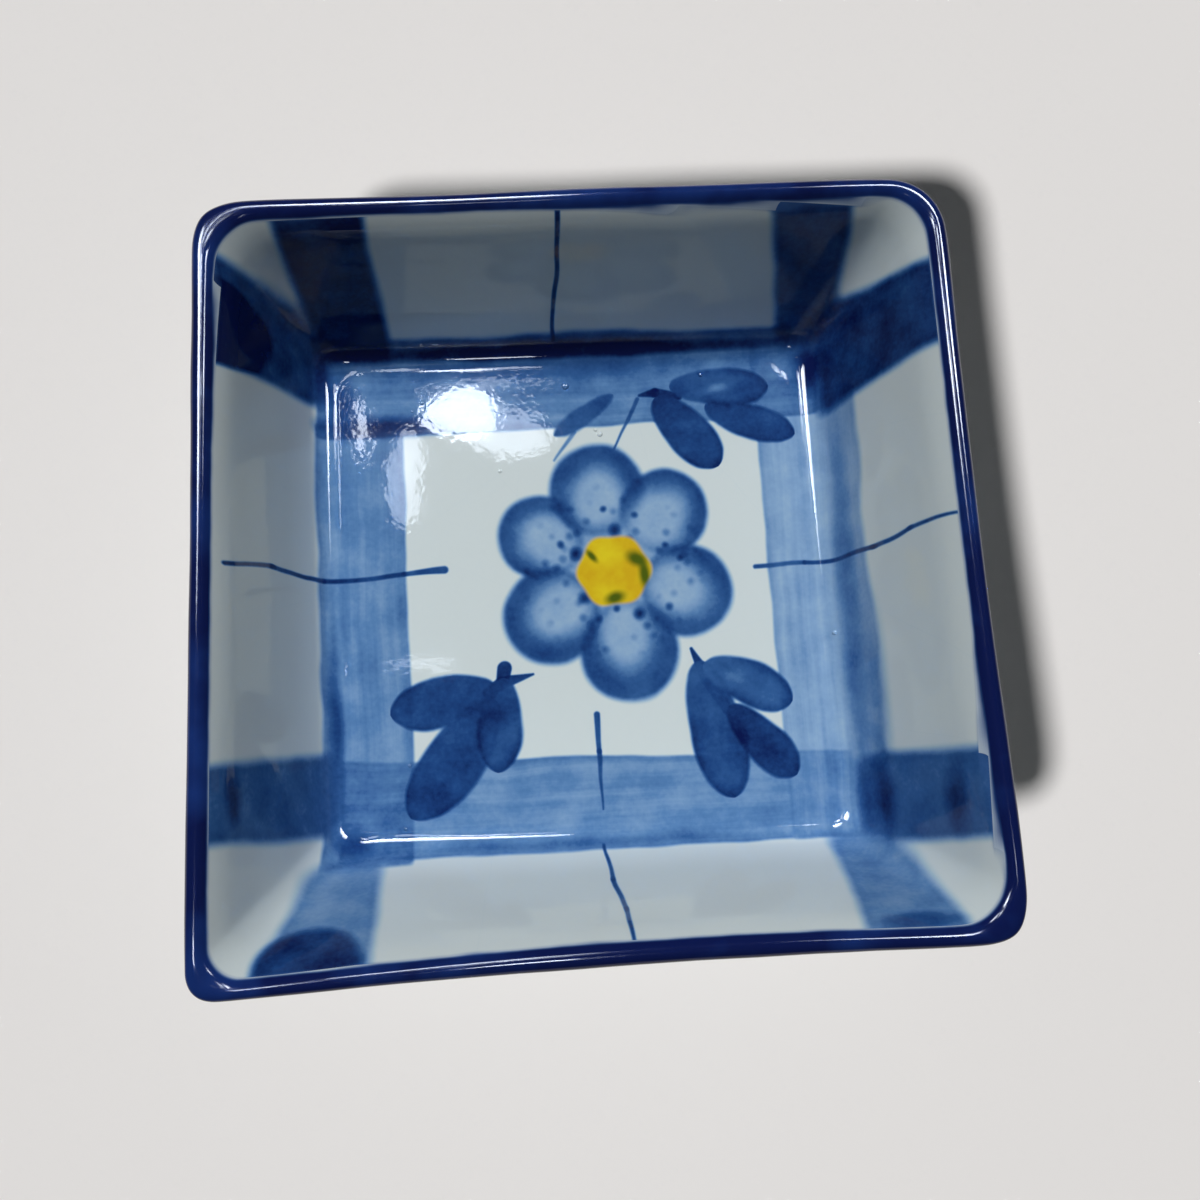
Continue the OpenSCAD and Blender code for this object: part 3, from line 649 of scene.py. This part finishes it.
# The leaves, pressed with a loaded brush: how its half width grows and shrinks along the mark, as shares
LEAF = ((0, 0), (0.04, 0.4), (0.12, 0.62), (0.28, 0.84), (0.45, 0.96), (0.62, 1), (0.8, 0.86), (0.93, 0.54),
        (1, 0))
LEAVES = [
    ((-17.5, -18.8), (-33.6, -39.3), 5.9, 0.74, 0.07, 2.0, 0.5),
    ((-17.2, -16.6), (-37.2, -20.6), 5.0, 0.74, 0.07, 2.0, 0.5),
    ((-16.0, -14.6), (-18.0, -31.6), 4.4, 0.74, 0.10, 2.0, 0.4),
    ((20.3, -13.4), (24.9, -38.9), 5.4, 0.72, 0.10, 2.4, 0.3),
    ((25.2, -22.2), (36.9, -35.4), 4.3, 0.80, 0.05, 2.0, 0.0),
    ((21.2, -14.2), (37.3, -21.6), 4.6, 0.62, 0.20, 3.0, 0.2),
    ((15.4, 37.6), (26.6, 23.6), 4.8, 0.76, 0.08, 2.0, 0.4),
    ((24.6, 35.6), (41.6, 29.4), 3.9, 0.76, 0.08, 2.0, 0.3),
    ((18.4, 39.6), (37.4, 39.2), 4.2, 0.70, 0.12, 2.4, 0.2),
    ((7.4, 38.9), (-4.6, 30.9), 2.2, 0.68, 0.0, 2.0, 0.0),
]
ink = thin_strokes(ink, STEMS)
ink = brush_marks(ink, brush_mark("leaf", LEAF), LEAVES)
# Pale streaks in three of them, where the brush ran dry
RAN_DRY = [
    ((27.4, 39.2, 0), (5.0, 1.5, 1), 14, 1.0, 0.40), ((27.0, -17.2, 0), (4.8, 1.3, 1), -24, 1.0, 0.45),
    ((21.9, -24.0, 0), (1.3, 6.0, 1), 10, 1.0, 0.56),
]
ink = lay_blots(ink, seen_above, RAN_DRY)

# Round dots of thick cobalt round the middle: where, radius, ink. They spread and fade in the fire.
DOT_SPREAD, DOT_FADE = 1.3, 0.9
DOTS = [
    ((-1.4, 8.1), 1.5, 0.95), ((-0.4, -0.5), 1.4, 0.95), ((9.7, -4.2), 1.4, 0.95), ((6.3, 12.0), 1.4, 0.95),
    ((4.4, 16.3), 0.8, 0.85), ((2.0, -4.7), 0.9, 0.85), ((18.0, 6.5), 0.9, 0.85), ((5.6, -3.1), 0.8, 0.85),
    ((10.0, 14.7), 0.8, 0.8), ((15.4, -3.0), 0.9, 0.8), ((15.3, 8.9), 0.8, 0.8), ((-4.2, 9.8), 0.9, 0.8),
]
ink = lay_blots(ink, seen_above, [
    ((*middle, 0), (DOT_SPREAD * radius, DOT_SPREAD * radius, 1), 0, 1.0, DOT_FADE * amount)
    for middle, radius, amount in DOTS])

# Wash and glaze give the ink its last mottle, and the ramp its colours, from the milky white of the bare
# glaze through the greyed blue of a thin wash to the near black of pooled cobalt
rough_wash = add(paint, "ShaderNodeMath", {0: mottle, 1: 0.60, 2: 0.70}, operation="MULTIPLY_ADD")
ink = add(paint, "ShaderNodeMath", {0: ink, 1: rough_wash}, operation="MULTIPLY")
fleck = add(paint, "ShaderNodeMapRange", {0: grain, 1: 0.35, 2: 0.75, 3: 0.98, 4: 1.06})
ink = add(paint, "ShaderNodeMath", {0: ink, 1: fleck}, operation="MULTIPLY")
GLAZE_WHITE = "#c6d0d1"
INKS = ((0.0, GLAZE_WHITE), (0.12, "#a9bfcb"), (0.30, "#7f9fc1"), (0.45, "#557dac"), (0.60, "#30598f"),
        (0.75, "#1d427a"), (0.88, "#122c60"), (1.0, "#081548"))
tones = add(paint, "ShaderNodeValToRGB", {0: ink})
stops = tones.color_ramp.elements
for position, _ in INKS[1:-1]:
    stops.new(position)
for stop, (position, code) in zip(stops, INKS):
    stop.position, stop.color = position, colour(code)

# The yellow enamel is dabbed on in six touches, so its edge has six blunt corners, and cobalt shows through
# it as olive in four places
YELLOW_RADIUS, CORNER_RISE = 6.9, 0.30
from_middle = add(paint, "ShaderNodeVectorMath", {0: seen_above, 1: (*FLOWER, 0)}, operation="SUBTRACT")
middle_x, middle_y, _ = add(paint, "ShaderNodeSeparateXYZ", {0: from_middle}).outputs
round_it = add(paint, "ShaderNodeMath", {0: middle_y, 1: middle_x}, operation="ARCTAN2")
sixfold = add(paint, "ShaderNodeMath", {0: round_it, 1: 6.0}, operation="MULTIPLY")
corners = add(paint, "ShaderNodeMath", {0: sixfold}, operation="COSINE")
yellow_reach = add(paint, "ShaderNodeMath", {0: corners, 1: CORNER_RISE, 2: YELLOW_RADIUS},
                   operation="MULTIPLY_ADD")
yellow_depth = add(paint, "ShaderNodeMath", {0: yellow_reach, 1: from_flower}, operation="SUBTRACT")
yellow = add(paint, "ShaderNodeMapRange", {0: yellow_depth, 1: -0.4, 2: 0.6}, interpolation_type="SMOOTHSTEP")
daubed = add(paint, "ShaderNodeMapRange", {0: mottle, 1: 0.35, 2: 0.65})
yellows = add(paint, "ShaderNodeMix", {0: daubed, 6: colour("#c7a31b"), 7: colour("#d3bf22")},
              data_type="RGBA")
OLIVE = [
    ((9.6, 6.6, 0), (2.9, 2.1, 1), -35, 0.8, 1.0), ((11.0, 3.4, 0), (1.7, 4.6, 1), 5, 0.8, 1.0),
    ((5.4, -0.9, 0), (2.9, 1.9, 1), 10, 0.8, 1.0), ((1.5, 7.6, 0), (2.2, 1.0, 1), -50, 0.8, 1.0),
]
olive = lay_blots(0.0, seen_above, OLIVE)
enamel = add(paint, "ShaderNodeMix", {0: olive, 6: yellows, 7: colour("#4a5a12")}, data_type="RGBA")
painted = add(paint, "ShaderNodeMix", {0: yellow, 6: tones.outputs[0], 7: enamel}, data_type="RGBA")
# Painted shade: the colour is darkened a little up the walls, standing in for the walls' shade
PAINTED_WALL_SHADE = 0.84
wall_shade = add(paint, "ShaderNodeMapRange", {0: z, 1: 10.0, 2: 20.0, 3: 1.0, 4: PAINTED_WALL_SHADE},
              interpolation_type="SMOOTHSTEP")
painted = add(paint, "ShaderNodeVectorMath", {0: painted.outputs[2], "Scale": wall_shade}, operation="SCALE")


# How long the waves in the cobalt's border are, and how wide its thinner patches
BORDER_WAVES, PATCH_SIZE = 10, 14.3


def lip_cobalt(tree, under, place):
    """The lip's cobalt where it runs thin over the white, and its own colour where it lies thick."""
    amount = add(tree, "ShaderNodeAttribute", attribute_name="cobalt").outputs["Fac"]
    broken = add(tree, "ShaderNodeTexNoise", {"Vector": place, "Scale": 1 / BORDER_WAVES, "Detail": 2.0})
    shift = add(tree, "ShaderNodeMapRange", {0: broken, 1: 0.25, 2: 0.75, 3: -0.06, 4: 0.06})
    reach = add(tree, "ShaderNodeMath", {0: amount, 1: shift}, operation="ADD")
    # From the border inwards: a pale wash over the white first, then the thick glaze over that
    thin_edge = add(tree, "ShaderNodeMapRange", {0: reach, 1: 0.36, 2: 0.66}, interpolation_type="SMOOTHSTEP")
    thick = add(tree, "ShaderNodeMapRange", {0: reach, 1: 0.46, 2: 0.76}, interpolation_type="SMOOTHSTEP")
    patches = add(tree, "ShaderNodeTexNoise", {"Vector": place, "Scale": 1 / PATCH_SIZE, "Detail": 3.0})
    depth = add(tree, "ShaderNodeMapRange", {0: patches, 1: 0.45, 2: 0.75})
    cobalt_colour = add(tree, "ShaderNodeMix", {0: depth, 6: colour("#0a1647"), 7: colour("#16316f")},
                        data_type="RGBA")
    over = add(tree, "ShaderNodeMix", {0: thick, 6: colour("#3a5f96"), 7: cobalt_colour}, data_type="RGBA")
    return add(tree, "ShaderNodeMix", {0: thin_edge, 6: under, 7: over}, data_type="RGBA")


# The slow waves and the orange peel that a fired glaze has, and how strongly it mirrors
RIPPLE_SIZE = 11.1
PEEL_SIZE, PEEL_DEPTH = 1.43, 0.009
MIRRORING = 0.28


def glaze_shader(tree, base, place, roughness, ripple):
    """Glass fired onto clay: a hard clear gloss over its colour, with slow waves as deep as ripple and a
    fine orange peel."""
    waves = add(tree, "ShaderNodeTexNoise", {"Vector": place, "Scale": 1 / RIPPLE_SIZE, "Detail": 1.0})
    peel = add(tree, "ShaderNodeTexNoise", {"Vector": place, "Scale": 1 / PEEL_SIZE, "Detail": 1.0})
    slow = add(tree, "ShaderNodeBump", {"Height": waves, "Strength": 1.0, "Distance": ripple * MM})
    fine = add(tree, "ShaderNodeBump", {"Height": peel, "Strength": 1.0, "Distance": PEEL_DEPTH * MM,
                                        "Normal": slow})
    surface = add(tree, "ShaderNodeBsdfPrincipled", {"Base Color": base, "Roughness": roughness, "IOR": 1.5,
                                                     "Specular IOR Level": MIRRORING, "Normal": fine})
    add(tree, "ShaderNodeOutputMaterial", {0: surface})


glaze_shader(paint, lip_cobalt(paint, painted, true_place), true_place, roughness=0.04, ripple=0.03)

# Glaze blisters
# Bubbles of gas that the fire left as low caps in the white glaze, 0.6 to 1.5 mm wide. They are glaze over
# the same paint, so they take its look, and each gives the eye its own spark of light.
BLISTERS = [
    ((-1.8, 40.8), 0.75), ((4.3, 31.0), 0.55), ((3.5, 31.9), 0.40), ((-15.0, 24.5), 0.40),
    ((-29.1, 38.5), 0.50), ((-31.0, 36.9), 0.30), ((45.8, -9.5), 0.50), ((-33.7, -29.7), 0.35),
    ((-34.8, -40.9), 0.35), ((24.4, 42.0), 0.45),
]
ABOVE_THE_BOWL = 60
BLISTER_RISE = 0.5
caps = []
for middle, radius in BLISTERS:
    where = inner.ray_cast(Vector((*middle, ABOVE_THE_BOWL)) * MM, Vector((0, 0, -1)))[1]
    bpy.ops.mesh.primitive_uv_sphere_add(segments=24, ring_count=12, radius=radius * MM, location=where,
                                         scale=(1, 1, BLISTER_RISE))
    caps.append(bpy.context.object)
only(*caps)
bpy.ops.object.join()
blisters = bpy.context.object
blisters.name = blisters.data.name = "glaze_blisters"
bpy.ops.object.transform_apply(location=True, rotation=True, scale=True)
bpy.ops.object.shade_smooth()
blisters.data.materials.append(painted_glaze)
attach(blisters, "root")

# Cobalt glaze on the lip
# A glaze coloured with cobalt, brushed over the lip of the dipped bowl before it is fired. It is near black
# where it lies thick, blue where it thins out over the white, and a little less sharp a mirror than that.
finish_coat(lip_glaze, "lip_glaze", "cobalt_glaze", "rim_glaze")
tree, at = open_material(lip_glaze)
glaze_shader(tree, lip_cobalt(tree, colour(GLAZE_WHITE), at), at, roughness=0.10, ripple=0.06)

# White glaze outside
# The same white glaze on the outer walls, from the bowl's dip, without brushwork. It is milky, slightly
# blue-green and glossy, with faint clouds where it ran thicker and thinner.
CLOUD_SIZE = 12.5
finish_coat(plain_glaze, "outer_glaze_coat", "white_glaze", "outer_glaze")
tree, at = open_material(plain_glaze)
cloudy = add(tree, "ShaderNodeTexNoise", {"Vector": at, "Scale": 1 / CLOUD_SIZE, "Detail": 4.0})
white = add(tree, "ShaderNodeMix", {0: cloudy, 6: colour("#bfcacd"), 7: colour("#ccd5d5")}, data_type="RGBA")
glaze_shader(tree, lip_cobalt(tree, white, at), at, roughness=0.08, ripple=0.08)

# White glaze inside the foot
# A thin square pool of the same white glaze under the base. It stays when the foot ring round it is wiped
# clean so as not to stick in the kiln, and its edge is drawn soft by the fire.
SOFT_EDGE = 0.15 * MM
pool = copy_of("base_glaze", "base_glaze_pool")
pool.data.materials.append(plain_glaze)
bevel = pool.modifiers.new("soft edge", "BEVEL")
bevel.width = SOFT_EDGE
bevel.segments = 3
bevel.limit_method = "ANGLE"
apply_modifiers(pool)
bpy.ops.object.shade_smooth_by_angle(angle=SHARP_FROM)
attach(pool, "root")
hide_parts("base_glaze")

# Bare stoneware
# The pressed slab that everything lies on, and the strip of clay luted under it as a foot. They keep the
# shapes of their solids, and show where no glaze lies: dull, warm buff clay with a fine grit.
GRIT_SIZE, GRIT_DEPTH = 0.667, 0.08
stoneware = bpy.data.materials.new("bare stoneware")
tree, at = open_material(stoneware)
grit = add(tree, "ShaderNodeTexNoise", {"Vector": at, "Scale": 1 / GRIT_SIZE, "Detail": 4.0})
clay = add(tree, "ShaderNodeMix", {0: grit, 6: colour("#c5b394"), 7: colour("#e0d3bb")}, data_type="RGBA")
rough = add(tree, "ShaderNodeBump", {"Height": grit, "Strength": 1.0, "Distance": GRIT_DEPTH * MM})
surface = add(tree, "ShaderNodeBsdfPrincipled", {"Base Color": clay, "Roughness": 0.85, "Normal": rough})
add(tree, "ShaderNodeOutputMaterial", {0: surface})
for node in ("stoneware_shell", "foot_ring"):
    for slot in nodes[node].material_slots:
        slot.material = stoneware

# Table
# The plain pale surface that the bowl stands on. It is matt, almost without any shine, so all it shows is
# the bowl's shadow.
TABLE_SIZE = 3
bpy.ops.object.select_all(action="DESELECT")
bpy.ops.mesh.primitive_plane_add(size=TABLE_SIZE)
table = bpy.context.object
table.name = "table"
sheet = bpy.data.materials.new("plain pale table")
sheet.use_nodes = True
tree = sheet.node_tree
tree.nodes.clear()
surface = add(tree, "ShaderNodeBsdfPrincipled", {"Base Color": colour("#e2dfdd"), "Roughness": 0.9,
                                                 "Specular IOR Level": 0.1})
add(tree, "ShaderNodeOutputMaterial", {0: surface})
table.data.materials.append(sheet)

# Light
# The window's light, low enough to leave the back wall in its own shade, and another for the table alone,
# since a second window throws the photograph's shadow to the right and the back. Each has the way it shines,
# how wide it looks in degrees, and its strength.
SUNS = [
    ("window light", (0.12, -0.42, -0.90), 12, 3.05),
    ("light over the table", (0.46, 0.44, -0.77), 7, 3.62),
]
for name, way, spread, strength in SUNS:
    sun = bpy.data.lights.new(name, "SUN")
    sun.energy = strength
    sun.angle = math.radians(spread)
    hung = bpy.data.objects.new(name, sun)
    bpy.context.scene.collection.objects.link(hung)
    hung.rotation_euler = Vector(way).to_track_quat("-Z", "Y").to_euler()
    hung.visible_glossy = False
    lit = bpy.data.collections.new("lit by the " + name)
    for piece in bpy.data.objects:
        if piece.type == "MESH" and (piece is table) == (name == "light over the table"):
            lit.objects.link(piece)
    hung.light_linking.receiver_collection = lit

# What the glaze mirrors of the room's lamps: place, what it faces and its size in millimetres, the angle it
# shines into, strength. Those mirrored in the floor shine all round and have round outlines, and the panes
# mirrored in the walls keep their corners. Nothing else is lit by them.
ALL_ROUND = 180
LAMPS = [
    ("key mirrored", (-46, 224, 581), (-46, 224, 0), (54, 31), ALL_ROUND, 0.21),
    ("pane mirrored", (-13, 210, 581), (-13, 210, 0), (54, 35), ALL_ROUND, 0.075),
    ("soft patch mirrored", (-85, 180, 581), (-85, 180, 0), (28, 66), ALL_ROUND, 0.065),
    ("bright patch mirrored", (-84, 193, 581), (-84, 193, 0), (20, 42), ALL_ROUND, 0.10),
    ("low streak mirrored", (-80, 58, 581), (-80, 58, 0), (47, 5), ALL_ROUND, 0.007),
    ("left streak mirrored", (-113, 217, 581), (-113, 217, 0), (6, 42), ALL_ROUND, 0.022),
    ("back streak mirrored", (-30, 241, 581), (-30, 241, 0), (100, 5), ALL_ROUND, 0.016),
    ("left panes mirrored", (-275, 225, 540), (-63, 25, 40), (190, 230), 24, 0.24),
    ("right panes mirrored", (265, 245, 540), (63, 38, 40), (160, 150), 24, 0.13),
    ("back panes mirrored", (-75, 345, 540), (-30, 64, 40), (190, 130), 24, 0.14),
    ("front lamp mirrored", (-25, -124, 540), (-15, -63, 40), (60, 50), 30, 0.022),
]
for name, where, faces, size, spread, strength in LAMPS:
    lamp = bpy.data.lights.new(name, "AREA")
    lamp.shape = "ELLIPSE" if spread == ALL_ROUND else "RECTANGLE"
    lamp.size, lamp.size_y = size[0] * MM, size[1] * MM
    lamp.spread = math.radians(spread)
    lamp.color = colour("#e2ecfb")[:3]
    lamp.energy = strength
    hung = bpy.data.objects.new(name, lamp)
    bpy.context.scene.collection.objects.link(hung)
    hung.location = Vector(where) * MM
    hung.rotation_euler = (Vector(faces) - Vector(where)).to_track_quat("-Z", "Y").to_euler()
    hung.visible_diffuse = False

# The room's own dim light
world = bpy.data.worlds.new("room")
bpy.context.scene.world = world
world.use_nodes = True
world.node_tree.nodes["Background"].inputs["Color"].default_value = colour("#e8eef2")
world.node_tree.nodes["Background"].inputs["Strength"].default_value = 0.07
bpy.context.scene.view_settings.view_transform = "Standard"
